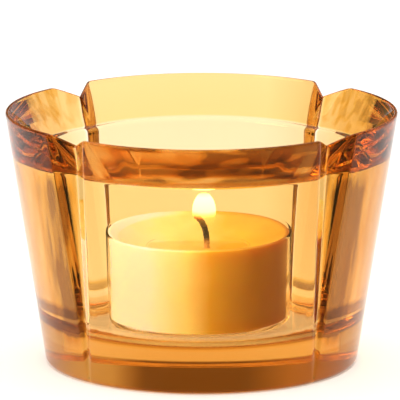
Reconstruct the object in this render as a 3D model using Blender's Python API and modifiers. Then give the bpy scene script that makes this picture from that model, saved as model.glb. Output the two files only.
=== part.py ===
"""Four-lobed pressed-glass tealight holder with the tealight that it holds.

Metres, +Z up. The origin is the centre of the holder's underside, and the four lobes
of the rim point along +X, +Y, -X and -Y. Run it with
blender --background --python part.py, or from Blender's text editor.
"""

import math
from typing import NamedTuple

import bmesh
import bpy
from mathutils import Vector

OBJECT_NAME = "tealight_holder"

# ---- Driving dimensions, in metres -------------------------------------------------
# Outside of the glass
HEIGHT = 0.0525
BASE_RADIUS = 0.0322
RIM_RADIUS = 0.0405            # at the middle of a lobe
BASE_EDGE_ROUND = 0.0011
LOBE_BULGE = 0.00096           # a lobe's ends stand this much further in than its middle
NOTCH_HALF_ANGLE = 7.56        # degrees, at the rim; a notch closes to nothing at the base
NOTCH_DEPTH = 0.0033           # from the lobes' ends to the notch's bottom, at the rim
RIM_DIP = 0.0022               # how far the rim drops in a notch

# Inside of the glass
FLOOR_THICKNESS = 0.0092
WALL_AT_FLOOR = 0.0072
RIM_WIDTH = 0.0008             # the rounded edge between the outside and the bevel
BEVEL_HEIGHT = 0.0081          # the wide bevel that runs down from the rim inside
BEVEL_WIDTH = 0.0059
LEDGE = 0.0011                 # the small rounded ledge under the bevel
RIDGE_HALF_ANGLE = 5.7         # degrees, of the inner corners opposite the notches
RIDGE_HEIGHT = 0.0002          # how far such a corner stands in from flat, under the bevel
FLOOR_FILLET = 0.0035

# Tealight
CUP_RADIUS = 0.0198            # outside, at its lip
CUP_HEIGHT = 0.0186
CUP_DRAFT = 0.0009             # how much narrower the cup is at its bottom
CUP_WALL = 0.0007
CUP_EDGE_ROUND = 0.0012
TEALIGHT_SHIFT = -0.0007       # the loose tealight stands a little off the middle, along X
FILL_BELOW_LIP = 0.0004
WAX_LAND = 0.0006              # the flat edge of the wax round the dish melted into it
DISH_DEPTH = 0.0043
DISH_POWER = 2.5               # how flat the dish's bottom is
WICK_SHIFT = 0.0018            # the wick stands off the tealight's axis, along X
WICK_RADIUS = 0.00065
WICK_ABOVE_DISH = 0.0076
WICK_LEAN = 0.0023             # how far the burnt tip bends over
WICK_BEND_POWER = 4.0          # how close to the tip the bend lies
CLIP_RADIUS = 0.0065
CLIP_THICKNESS = 0.0003
CLIP_NECK_WALL = 0.0003
CLIP_NECK_HEIGHT = 0.0030

CLEARANCE = 0.0003             # between pieces that touch in the real thing

# ---- Fineness ----------------------------------------------------------------------
LOBES = 4
LOBE_STEPS = 14
NOTCH_STEPS = 2
ROUND_STEPS = 4
TURN_STEPS = 48
DISH_STEPS = 10
WICK_STEPS = 12
SHARP_ANGLE = math.radians(24.0)
MERGE_DISTANCE = 0.00002


class Section(NamedTuple):
    """A level outline with four lobes: radii in metres, half angle in radians."""

    middle: float
    end: float
    half_angle: float
    corner: float


def between(first, second, share):
    """The number that lies the given share of the way from first to second."""
    return first + (second - first) * share


def blend(first, second, share):
    """The section that lies the given share of the way from first to second."""
    return Section(*(between(a, b, share) for a, b in zip(first, second)))


# ---- Scene, materials and collections ----------------------------------------------

def clear_scene():
    for obj in list(bpy.data.objects):
        bpy.data.objects.remove(obj, do_unlink=True)


def new_collection(name):
    collection = bpy.data.collections.new(name)
    bpy.context.scene.collection.children.link(collection)
    return collection


def new_material(name, colour, roughness, metallic=0.0, transmission=0.0, ior=1.5):
    material = bpy.data.materials.new(name)
    material.use_nodes = True
    shader = material.node_tree.nodes["Principled BSDF"]
    shader.inputs["Base Color"].default_value = (*colour, 1.0)
    shader.inputs["Roughness"].default_value = roughness
    shader.inputs["Metallic"].default_value = metallic
    shader.inputs["Transmission Weight"].default_value = transmission
    shader.inputs["IOR"].default_value = ior
    material.diffuse_color = (*colour, 1.0)
    return material


def add_object(name, data, collection, material=None, parent=None, place=(0.0, 0.0, 0.0)):
    obj = bpy.data.objects.new(name, data)
    collection.objects.link(obj)
    if material is not None:
        data.materials.append(material)
    obj.parent = parent
    obj.location = place
    return obj


def shade(obj):
    obj.data.shade_smooth()
    obj.data.set_sharp_from_angle(angle=SHARP_ANGLE)


# ---- Shapes --------------------------------------------------------------------------

def lobe_radius(section, angle):
    """Radius at an angle from the lobe's middle, on the arc through its middle and ends."""
    end_along = section.end * math.cos(section.half_angle)
    reach = section.middle - end_along
    if abs(section.middle - section.end) < 1e-7:
        return section.middle
    centre = (section.middle ** 2 - section.end ** 2) / (2.0 * reach)
    arc = section.middle - centre
    return centre * math.cos(angle) + math.sqrt(arc ** 2 - (centre * math.sin(angle)) ** 2)


def lobe_outline(section):
    """Points of one lobe and the notch after it, about +X, as (x, y, share of the notch)."""
    points = []
    for step in range(LOBE_STEPS + 1):
        angle = between(-section.half_angle, section.half_angle, step / LOBE_STEPS)
        radius = lobe_radius(section, angle)
        points.append((radius * math.cos(angle), radius * math.sin(angle), 0.0))
    corner_angle = math.pi / LOBES
    corner = (section.corner * math.cos(corner_angle), section.corner * math.sin(corner_angle))
    last_angle = section.half_angle
    next_angle = 2.0 * corner_angle - section.half_angle
    last = (section.end * math.cos(last_angle), section.end * math.sin(last_angle))
    first = (section.end * math.cos(next_angle), section.end * math.sin(next_angle))
    for step in range(1, NOTCH_STEPS + 1):
        share = step / NOTCH_STEPS
        points.append((between(last[0], corner[0], share), between(last[1], corner[1], share), share))
    for step in range(1, NOTCH_STEPS):
        share = step / NOTCH_STEPS
        points.append((between(corner[0], first[0], share), between(corner[1], first[1], share),
                       1.0 - share))
    return points


def section_ring(section, height, dip=0.0):
    """One closed ring of points; the ring drops by dip in the notches."""
    ring = []
    for lobe in range(LOBES):
        turn = 2.0 * math.pi * lobe / LOBES
        for x, y, notch in lobe_outline(section):
            ring.append(Vector((x * math.cos(turn) - y * math.sin(turn),
                                x * math.sin(turn) + y * math.cos(turn),
                                height - dip * notch)))
    return ring


def loft(name, rings, collection, material):
    """A closed body through rings of equally many points, each ring inside or above the last."""
    shell = bmesh.new()
    layers = [[shell.verts.new(point) for point in ring] for ring in rings]
    for lower, upper in zip(layers, layers[1:]):
        count = len(lower)
        for i in range(count):
            j = (i + 1) % count
            shell.faces.new((lower[i], lower[j], upper[j], upper[i]))
    shell.faces.new(list(reversed(layers[0])))
    shell.faces.new(layers[-1])
    bmesh.ops.remove_doubles(shell, verts=shell.verts, dist=MERGE_DISTANCE)
    mesh = bpy.data.meshes.new(name)
    shell.to_mesh(mesh)
    shell.free()
    obj = add_object(name, mesh, collection, material)
    shade(obj)
    return obj


def turned(name, profile, collection, material, parent, place=(0.0, 0.0, 0.0)):
    """A turned body: (radius, height) points down the outer side, from the axis to the axis."""
    mesh = bpy.data.meshes.new(name)
    points = [(radius, 0.0, height) for radius, height in profile]
    mesh.from_pydata(points, [(i, i + 1) for i in range(len(points) - 1)], [])
    obj = add_object(name, mesh, collection, material, parent, place)
    screw = obj.modifiers.new("turn", "SCREW")
    screw.axis = "Z"
    screw.steps = TURN_STEPS
    screw.render_steps = TURN_STEPS
    screw.use_merge_vertices = True
    screw.merge_threshold = MERGE_DISTANCE
    screw.use_smooth_shade = True
    return obj


def arc(centre, radius, start, stop):
    """Points on an arc in the profile plane, angles in degrees from the outward direction."""
    points = []
    for step in range(ROUND_STEPS + 1):
        angle = math.radians(between(start, stop, step / ROUND_STEPS))
        points.append((centre[0] + radius * math.cos(angle), centre[1] + radius * math.sin(angle)))
    return points


# ---- Glass ---------------------------------------------------------------------------

def outside(height):
    """Outer section of the glass: round at the base, four lobes and notches at the rim."""
    share = height / HEIGHT
    middle = between(BASE_RADIUS, RIM_RADIUS, share)
    end = middle - LOBE_BULGE * share
    half_angle = math.radians(180.0 / LOBES - NOTCH_HALF_ANGLE * share)
    return Section(middle, end, half_angle, end - NOTCH_DEPTH * share)


def inset(section, width):
    """A section inside another, with its own corners opposite the notches."""
    end = section.end - width
    half_angle = math.radians(180.0 / LOBES - RIDGE_HALF_ANGLE)
    flat = end * math.cos(math.pi / LOBES - half_angle)
    return Section(section.middle - width, end, half_angle, flat - RIDGE_HEIGHT)


def grown(section, width):
    """A section moved outwards all round, or inwards where the width is negative."""
    return Section(section.middle + width, section.end + width,
                   section.half_angle, section.corner + width)


def bevel_foot():
    """Section where the wide inner bevel ends."""
    radius = RIM_RADIUS - RIM_WIDTH - BEVEL_WIDTH
    outer = outside(HEIGHT - BEVEL_HEIGHT)
    return inset(outer, outer.middle - radius)


def inside_wall(height):
    """Inner section of the wall between the floor and the ledge under the bevel."""
    top_level = HEIGHT - BEVEL_HEIGHT - LEDGE
    share = (height - FLOOR_THICKNESS) / (top_level - FLOOR_THICKNESS)
    foot = bevel_foot()
    radius = outside(FLOOR_THICKNESS).middle - WALL_AT_FLOOR
    bottom = Section(radius, radius, foot.half_angle, radius)
    return blend(bottom, grown(foot, -LEDGE), share)


def base_rings():
    """Rings round the rounded bottom edge and up the outside, short of the rim."""
    rings = []
    for step in range(ROUND_STEPS + 1):
        angle = math.radians(90.0 * step / ROUND_STEPS)
        height = BASE_EDGE_ROUND * (1.0 - math.cos(angle))
        inwards = BASE_EDGE_ROUND * (1.0 - math.sin(angle))
        rings.append(section_ring(grown(outside(height), -inwards), height))
    return rings


def rim_rings():
    """Rings over the half-round rim, which dips in the notches."""
    rings = []
    half = RIM_WIDTH / 2.0
    for step in range(ROUND_STEPS + 1):
        angle = math.radians(180.0 * step / ROUND_STEPS)
        height = HEIGHT - half * (1.0 - math.sin(angle))
        inwards = half * (1.0 - math.cos(angle))
        rings.append(section_ring(grown(outside(HEIGHT - half), -inwards), height, RIM_DIP))
    return rings


def cup_rings():
    """Rings down the ledge, the inner wall and the floor fillet."""
    rings = [section_ring(bevel_foot(), HEIGHT - BEVEL_HEIGHT)]
    ledge_top = HEIGHT - BEVEL_HEIGHT
    wall_top = inside_wall(ledge_top - LEDGE)
    for step in range(1, ROUND_STEPS + 1):
        angle = math.radians(90.0 * step / ROUND_STEPS)
        outwards = LEDGE * (1.0 - math.sin(angle))
        rings.append(section_ring(grown(wall_top, outwards),
                                  ledge_top - LEDGE * (1.0 - math.cos(angle))))
    fillet_top = inside_wall(FLOOR_THICKNESS + FLOOR_FILLET)
    for step in range(ROUND_STEPS + 1):
        angle = math.radians(90.0 * step / ROUND_STEPS)
        inwards = FLOOR_FILLET * (1.0 - math.cos(angle))
        rings.append(section_ring(grown(fillet_top, -inwards),
                                  FLOOR_THICKNESS + FLOOR_FILLET * (1.0 - math.sin(angle))))
    return rings


def build_glass(collection):
    glass = new_material("amber_glass", (0.86, 0.46, 0.10), 0.03, transmission=1.0, ior=1.52)
    return loft("glass_holder", base_rings() + rim_rings() + cup_rings(), collection, glass)


# ---- Tealight ------------------------------------------------------------------------

def cup_outer_radius(height):
    """Outer radius of the tealight's cup at a height above its own underside."""
    return between(CUP_RADIUS - CUP_DRAFT, CUP_RADIUS, height / CUP_HEIGHT)


def build_cup(collection, parent):
    """The clear cup: a thin wall and floor with a rounded bottom edge."""
    plastic = new_material("clear_plastic", (0.92, 0.93, 0.93), 0.05, transmission=0.9, ior=1.57)
    inner_round = CUP_EDGE_ROUND - CUP_WALL
    outer_foot = cup_outer_radius(CUP_EDGE_ROUND)
    inner_foot = outer_foot - CUP_WALL
    lip = CUP_WALL / 2.0
    profile = [(0.0, CUP_WALL)]
    profile += arc((inner_foot - inner_round, CUP_WALL + inner_round), inner_round, -90.0, 0.0)
    profile += arc((CUP_RADIUS - lip, CUP_HEIGHT - lip), lip, 180.0, 0.0)
    profile += arc((outer_foot - CUP_EDGE_ROUND, CUP_EDGE_ROUND), CUP_EDGE_ROUND, 0.0, -90.0)
    profile.append((0.0, 0.0))
    return turned("tealight_cup", profile, collection, plastic, parent)


def wax_radius(height):
    return cup_outer_radius(height) - CUP_WALL - CLEARANCE


def wax_level():
    """Height of the wax's edge above the cup's underside."""
    return CUP_HEIGHT - FILL_BELOW_LIP


def dish_level():
    """Height of the bottom of the wax's dish above the cup's underside."""
    return wax_level() - DISH_DEPTH


def dish_profile():
    """Points from the middle of the dish out to its edge, as (radius, height)."""
    reach = wax_radius(wax_level()) - WAX_LAND
    shares = [step / DISH_STEPS for step in range(DISH_STEPS + 1)]
    return [(reach * share, dish_level() + DISH_DEPTH * share ** DISH_POWER) for share in shares]


def clip_bottom():
    return CUP_WALL + CLEARANCE


def clip_bore():
    return WICK_RADIUS + CLEARANCE


def clip_neck_radius():
    return clip_bore() + CLIP_NECK_WALL


def build_wax(collection, cutters, parent):
    """The dished wax: it fills the cup, and the wick and its clip stand in a hollow in it."""
    paraffin = new_material("paraffin_wax", (0.96, 0.90, 0.74), 0.45)
    bottom = CUP_WALL + CLEARANCE
    edge = CUP_EDGE_ROUND - CUP_WALL
    top = wax_level()
    profile = dish_profile() + [(wax_radius(top), top)]
    profile += arc((wax_radius(bottom + edge) - edge, bottom + edge), edge, 0.0, -90.0)
    profile.append((0.0, bottom))
    wax = turned("wax", profile, collection, paraffin, parent)

    clip_room = clip_bottom() + CLIP_THICKNESS + CLEARANCE
    neck_room = clip_bottom() + CLIP_THICKNESS + CLIP_NECK_HEIGHT + CLEARANCE
    hollow = [(0.0, top),
              (WICK_RADIUS + CLEARANCE, top),
              (WICK_RADIUS + CLEARANCE, neck_room),
              (clip_neck_radius() + CLEARANCE, neck_room),
              (clip_neck_radius() + CLEARANCE, clip_room),
              (CLIP_RADIUS + CLEARANCE, clip_room),
              (CLIP_RADIUS + CLEARANCE, 0.0),
              (0.0, 0.0)]
    cutter = turned("wick_hollow", hollow, cutters, None, parent, (WICK_SHIFT, 0.0, 0.0))
    cutter.hide_render = True
    cutter.display_type = "WIRE"
    cut = wax.modifiers.new("wick_hollow", "BOOLEAN")
    cut.operation = "DIFFERENCE"
    cut.solver = "EXACT"
    cut.object = cutter
    return wax


def build_clip(collection, parent):
    """The steel clip: a thin disc with a short neck that the wick stands in."""
    steel = new_material("tinned_steel", (0.70, 0.70, 0.68), 0.35, metallic=1.0)
    bottom = clip_bottom()
    bore = clip_bore()
    seat = bottom + CLIP_THICKNESS
    profile = [(bore, bottom),
               (bore, seat + CLIP_NECK_HEIGHT),
               (clip_neck_radius(), seat + CLIP_NECK_HEIGHT),
               (clip_neck_radius(), seat),
               (CLIP_RADIUS, seat),
               (CLIP_RADIUS, bottom),
               (bore, bottom)]
    clip = turned("wick_clip", profile, collection, steel, parent, (WICK_SHIFT, 0.0, 0.0))
    return clip


def wick_points():
    """Points of the wick: upright in the wax, bent over more and more above it."""
    points = [Vector((0.0, 0.0, clip_bottom()))]
    for step in range(WICK_STEPS + 1):
        rise = step / WICK_STEPS
        points.append(Vector((-WICK_LEAN * rise ** WICK_BEND_POWER, 0.0,
                              dish_level() + WICK_ABOVE_DISH * rise)))
    return points


def build_wick(collection, parent):
    """The braided wick, a bent rod with filled ends."""
    cotton = new_material("wick_cotton", (0.10, 0.07, 0.05), 0.9)
    curve = bpy.data.curves.new("wick", "CURVE")
    curve.dimensions = "3D"
    curve.bevel_depth = WICK_RADIUS
    curve.bevel_resolution = 2
    curve.use_fill_caps = True
    spline = curve.splines.new("POLY")
    places = wick_points()
    spline.points.add(len(places) - 1)
    for point, place in zip(spline.points, places):
        point.co = (*place, 1.0)
    return add_object("wick", curve, collection, cotton, parent, (WICK_SHIFT, 0.0, 0.0))


def build_tealight(collection, cutters):
    """The tealight stands loose on the floor of the glass and lifts straight out."""
    seat = bpy.data.objects.new("tealight_axis", None)
    seat.location = (TEALIGHT_SHIFT, 0.0, FLOOR_THICKNESS + CLEARANCE)
    seat.empty_display_size = CUP_RADIUS
    collection.objects.link(seat)
    build_cup(collection, seat)
    build_wax(collection, cutters, seat)
    build_clip(collection, seat)
    build_wick(collection, seat)


def main():
    clear_scene()
    parts = new_collection(OBJECT_NAME)
    cutters = new_collection("cutters")
    build_glass(parts)
    build_tealight(parts, cutters)


if __name__ == "__main__":
    main()
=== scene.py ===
"""Finished looks of a four-lobed amber glass tealight holder with a lit tealight in it.

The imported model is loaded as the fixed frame, and every piece here is built in its place:
the pressed glass, the tealight's clear cup, wax, melted pool, clip and braided wick, and
the flame. Lengths are in metres and +Z is up. The holder is seen from -Y.
"""

from __future__ import annotations

import logging
import math
from dataclasses import dataclass, field, replace
from enum import Enum
from functools import cache
from typing import Iterable, Sequence

import bpy
from bpy.types import Material, Mesh, Node, NodeSocket, NodeTree, Object
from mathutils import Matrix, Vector

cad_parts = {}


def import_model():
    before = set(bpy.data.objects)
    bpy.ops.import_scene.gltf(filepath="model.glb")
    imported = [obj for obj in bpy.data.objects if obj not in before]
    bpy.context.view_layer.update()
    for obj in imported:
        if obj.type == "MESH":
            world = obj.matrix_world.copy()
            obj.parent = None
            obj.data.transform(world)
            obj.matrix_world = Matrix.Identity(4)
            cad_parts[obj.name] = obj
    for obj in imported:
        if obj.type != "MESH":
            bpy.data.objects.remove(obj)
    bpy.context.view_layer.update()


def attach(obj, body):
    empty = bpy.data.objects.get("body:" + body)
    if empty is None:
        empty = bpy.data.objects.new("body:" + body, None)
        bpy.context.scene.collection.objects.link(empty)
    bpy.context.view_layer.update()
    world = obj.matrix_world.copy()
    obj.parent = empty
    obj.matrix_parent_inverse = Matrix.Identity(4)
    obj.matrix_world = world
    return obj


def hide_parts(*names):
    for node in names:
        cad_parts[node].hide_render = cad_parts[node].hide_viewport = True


LOG = logging.getLogger("tealight_holder")
MM = 0.001
FULL_TURN = 2.0 * math.pi
Colour = tuple[float, float, float]
# Two values of the input, and the results that they map to; it is held beyond them.
Band = tuple[float, float, float, float]
# Radius and height of a point in a turned profile.
Point = tuple[float, float]
WHITE: Colour = (1.0, 1.0, 1.0)


class Body(Enum):
    """The rigid bodies that pieces ride on."""

    HOLDER = "holder"
    TEALIGHT = "tealight"


class Slot(Enum):
    """The record's material slots."""

    GLASS = "amber_glass"
    CUP = "clear_cup"
    WAX = "wax"
    STEEL = "clip_steel"
    COTTON = "wick_cotton"


# ---- Node trees ----

class Field:
    """A value in a node tree, so that math nodes are written as expressions."""

    def __init__(self, tree: NodeTree, source: object) -> None:
        """Keep the value.

        Args:
            tree: The node tree that new math nodes go in.
            source: A plain value, a socket, or a node whose first output is meant.
        """
        self.tree = tree
        self.source = source.outputs[0] if isinstance(source, Node) else source

    def feed(self, socket: NodeSocket) -> None:
        """Set or link this value into an input socket."""
        if isinstance(self.source, NodeSocket):
            self.tree.links.new(self.source, socket)
        else:
            socket.default_value = self.source

    def math(self, operation: str, *others: float | Field) -> Field:
        """Add one math node that takes this value and then the others."""
        feeds = dict(enumerate((self, *others)))
        return Field(self.tree, add_node(self.tree, "ShaderNodeMath", feeds, operation=operation))

    def __add__(self, other: float | Field) -> Field:
        """Sum."""
        return self.math("ADD", other)

    def __sub__(self, other: float | Field) -> Field:
        """Difference."""
        return self.math("SUBTRACT", other)

    def __rsub__(self, other: float) -> Field:
        """Difference from a plain number."""
        return Field(self.tree, other).math("SUBTRACT", self)

    def __mul__(self, other: float | Field) -> Field:
        """Product."""
        return self.math("MULTIPLY", other)

    def __truediv__(self, other: float | Field) -> Field:
        """Quotient."""
        return self.math("DIVIDE", other)

    def sin(self) -> Field:
        """Sine of an angle in radians."""
        return self.math("SINE")

    def cos(self) -> Field:
        """Cosine of an angle in radians."""
        return self.math("COSINE")

    def sqrt(self) -> Field:
        """Square root."""
        return self.math("SQRT")

    def size(self) -> Field:
        """The value without its sign."""
        return self.math("ABSOLUTE")

    def at_least(self, low: float | Field) -> Field:
        """The larger of this and a lower limit."""
        return self.math("MAXIMUM", low)

    def at_most(self, high: float) -> Field:
        """The smaller of this and an upper limit."""
        return self.math("MINIMUM", high)

    def ramp(self, low: float | Field, high: float | Field,
             to_low: float, to_high: float | Field) -> Field:
        """Map low to to_low and high to to_high, held at both ends."""
        feeds = dict(enumerate((self, low, high, to_low, to_high)))
        return Field(self.tree, add_node(self.tree, "ShaderNodeMapRange", feeds, clamp=True))


def as_field(tree: NodeTree, value: object) -> Field:
    """Wrap a plain value, node or socket as a field, and leave a field alone."""
    return value if isinstance(value, Field) else Field(tree, value)


def add_node(tree: NodeTree, kind: str, feeds: dict[str | int, object] | None = None,
             **settings: object) -> Node:
    """Add a node, set its properties and feed its inputs.

    Args:
        tree: The tree that takes the node.
        kind: The node's type name.
        feeds: Names or numbers of inputs, each with its field, node, socket or plain value.
        settings: Property names and values.

    Returns:
        The new node.
    """
    node = tree.nodes.new(kind)
    for name, value in settings.items():
        setattr(node, name, value)
    for key, value in (feeds or {}).items():
        as_field(tree, value).feed(node.inputs[key])
    return node


def new_group(name: str, kind: str, inputs: Sequence[tuple[str, str, object]],
              outputs: Sequence[tuple[str, str]]) -> tuple[NodeTree, Node, Node]:
    """Make a node group with named inputs and outputs.

    Args:
        name: The group's name.
        kind: Shader or Geometry.
        inputs: Name, socket kind and starting value of each input.
        outputs: Name and socket kind of each output.

    Returns:
        The tree, its input node and its output node.
    """
    tree = bpy.data.node_groups.new(name, f"{kind}NodeTree")
    for label, socket_kind, start in inputs:
        socket = tree.interface.new_socket(name=label, in_out="INPUT",
                                           socket_type=f"NodeSocket{socket_kind}")
        if start is not None:
            socket.default_value = start
    for label, socket_kind in outputs:
        tree.interface.new_socket(name=label, in_out="OUTPUT",
                                  socket_type=f"NodeSocket{socket_kind}")
    return tree, tree.nodes.new("NodeGroupInput"), tree.nodes.new("NodeGroupOutput")


def end_with_finish(tree: NodeTree, start: Node, end: Node, geometry: Node) -> None:
    """End a geometry tree: shade it smooth, make it real and give it its finish."""
    smooth = add_node(tree, "GeometryNodeSetShadeSmooth", {"Geometry": geometry})
    real = add_node(tree, "GeometryNodeRealizeInstances", {0: smooth})
    finish = add_node(tree, "GeometryNodeSetMaterial",
                      {"Geometry": real, "Material": start.outputs["Finish"]})
    Field(tree, finish).feed(end.inputs[0])


def run_tree(name: str, points: Sequence[Sequence[float]], attributes: dict[str, list[float]],
             tree: NodeTree, values: dict[str, object]) -> Object:
    """Run a geometry tree on a chain of points and keep the result as a plain mesh.

    Args:
        name: The piece's name.
        points: The chain's points.
        attributes: Names of point attributes and their values.
        tree: The geometry tree.
        values: Input names and their values.

    Returns:
        The finished piece.
    """
    chain = bpy.data.meshes.new(name)
    chain.from_pydata(points, [(i, i + 1) for i in range(len(points) - 1)], [])
    for label, numbers in attributes.items():
        chain.attributes.new(label, "FLOAT", "POINT").data.foreach_set("value", numbers)
    source = new_object(name, chain)
    modifier = source.modifiers.new(tree.name, "NODES")
    modifier.node_group = tree
    for item in tree.interface.items_tree:
        if item.item_type == "SOCKET" and item.in_out == "INPUT" and item.name in values:
            modifier[item.identifier] = values[item.name]
    bpy.context.view_layer.update()
    evaluated = source.evaluated_get(bpy.context.evaluated_depsgraph_get())
    mesh = bpy.data.meshes.new_from_object(evaluated)
    bpy.data.objects.remove(source, do_unlink=True)
    mesh.name = name
    point_outwards(mesh)
    return new_object(name, mesh)


# ---- Shared shader groups ----

@cache
def surface_ripple_group() -> NodeTree:
    """A shader group of slow waves and fine grain, as moulded glass and plastic have."""
    tree, start, end = new_group(
        "surface_ripple", "Shader",
        [("Vector", "Vector", None), ("Wave Scale", "Float", 60.0),
         ("Wave Stretch", "Float", 0.35), ("Grain Scale", "Float", 900.0),
         ("Grain Share", "Float", 0.15)],
        [("Height", "Float"), ("Grain", "Float")])
    given = start.outputs
    along = add_node(tree, "ShaderNodeCombineXYZ",
                     {"X": 1.0, "Y": 1.0, "Z": given["Wave Stretch"]})
    stretch = add_node(tree, "ShaderNodeVectorMath", {0: given["Vector"], 1: along},
                       operation="MULTIPLY")
    wave = add_node(tree, "ShaderNodeTexNoise",
                    {"Vector": stretch, "Scale": given["Wave Scale"], "Detail": 1.5})
    grain = add_node(tree, "ShaderNodeTexNoise",
                     {"Vector": given["Vector"], "Scale": given["Grain Scale"], "Detail": 3.0})
    fine = Field(tree, grain.outputs["Fac"])
    height = Field(tree, wave.outputs["Fac"]) + fine * Field(tree, given["Grain Share"])
    height.feed(end.inputs["Height"])
    fine.feed(end.inputs["Grain"])
    return tree


@cache
def height_share_group() -> NodeTree:
    """A shader group that tells how far up between two levels a point lies, as 0 to 1."""
    tree, start, end = new_group(
        "height_share", "Shader",
        [("Vector", "Vector", None), ("Low", "Float", 0.0), ("High", "Float", 1.0)],
        [("Share", "Float")])
    given = start.outputs
    parts = add_node(tree, "ShaderNodeSeparateXYZ", {0: given["Vector"]})
    Field(tree, parts.outputs["Z"]).ramp(given["Low"], given["High"], 0.0,
                                         1.0).feed(end.inputs["Share"])
    return tree


@dataclass(frozen=True)
class Ripple:
    """A surface's waves and grain: scales per metre, and the depth of the bump they make."""

    wave_scale: float
    wave_stretch: float
    grain_scale: float
    grain_share: float
    depth: float = 0.0


class Shader:
    """A material under construction: its tree, Principled shader and object coordinates."""

    def __init__(self, name: str) -> None:
        """Start a material of this name."""
        self.material = bpy.data.materials.new(name)
        self.material.use_nodes = True
        self.tree = self.material.node_tree
        self.principled = self.tree.nodes["Principled BSDF"]
        self.place = add_node(self.tree, "ShaderNodeTexCoord").outputs["Object"]

    def put(self, **values: object) -> None:
        """Feed the Principled shader's inputs, with _ for spaces in their names."""
        for name, value in values.items():
            as_field(self.tree, value).feed(self.principled.inputs[name.replace("_", " ")])

    def axes(self) -> list[Field]:
        """The object coordinates X, Y and Z."""
        parts = add_node(self.tree, "ShaderNodeSeparateXYZ", {0: self.place})
        return [Field(self.tree, parts.outputs[axis]) for axis in "XYZ"]

    def group(self, tree: NodeTree, **values: float) -> Node:
        """Place a shared group, fed with object coordinates and the values of its inputs."""
        node = add_node(self.tree, "ShaderNodeGroup", node_tree=tree)
        for name, value in {"Vector": self.place, **values}.items():
            as_field(self.tree, value).feed(node.inputs[name.replace("_", " ")])
        return node

    def ripple(self, look: Ripple) -> tuple[Field, Field]:
        """Add waves and grain, and their bump if they have a depth.

        Args:
            look: The waves and grain.

        Returns:
            The height and the grain, each about 0 to 1.
        """
        node = self.group(surface_ripple_group(), Wave_Scale=look.wave_scale,
                          Wave_Stretch=look.wave_stretch, Grain_Scale=look.grain_scale,
                          Grain_Share=look.grain_share)
        height, grain = (Field(self.tree, node.outputs[name]) for name in ("Height", "Grain"))
        if look.depth > 0.0:
            bump = add_node(self.tree, "ShaderNodeBump",
                            {"Distance": look.depth, "Strength": 1.0, "Height": height})
            self.put(Normal=bump)
        return height, grain

    def height_share(self, low: float, high: float) -> Field:
        """How far up between two levels a point lies."""
        return Field(self.tree, self.group(height_share_group(), Low=low, High=high))

    def colours(self, share: Field, stops: Sequence[tuple[float, Colour]], target: str,
                alpha: Sequence[float] | None = None) -> None:
        """Feed a colour ramp to an input of the shader.

        Args:
            share: What picks the place on the ramp.
            stops: Places and their colours.
            target: The input's name, with _ for spaces.
            alpha: The stops' alpha values, which feed the shader's alpha.
        """
        node = add_node(self.tree, "ShaderNodeValToRGB", {"Fac": share})
        elements = node.color_ramp.elements
        while len(elements) < len(stops):
            elements.new(0.5)
        for element, (place, colour), opacity in zip(elements, stops, alpha or [1.0] * len(stops)):
            element.position = place
            element.color = (*colour, opacity)
        self.put(**{target: node.outputs["Color"]})
        if alpha is not None:
            self.put(Alpha=node.outputs["Alpha"])

    def absorb(self, colour: Colour, density: float) -> None:
        """Tint the light that passes through the body.

        Args:
            colour: What is left of each colour's share.
            density: Absorption per metre of a colour that is all absorbed.
        """
        node = add_node(self.tree, "ShaderNodeVolumeAbsorption",
                        {"Color": (*colour, 1.0), "Density": density})
        Field(self.tree, node).feed(self.tree.nodes["Material Output"].inputs["Volume"])


# ---- Finishes ----

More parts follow.
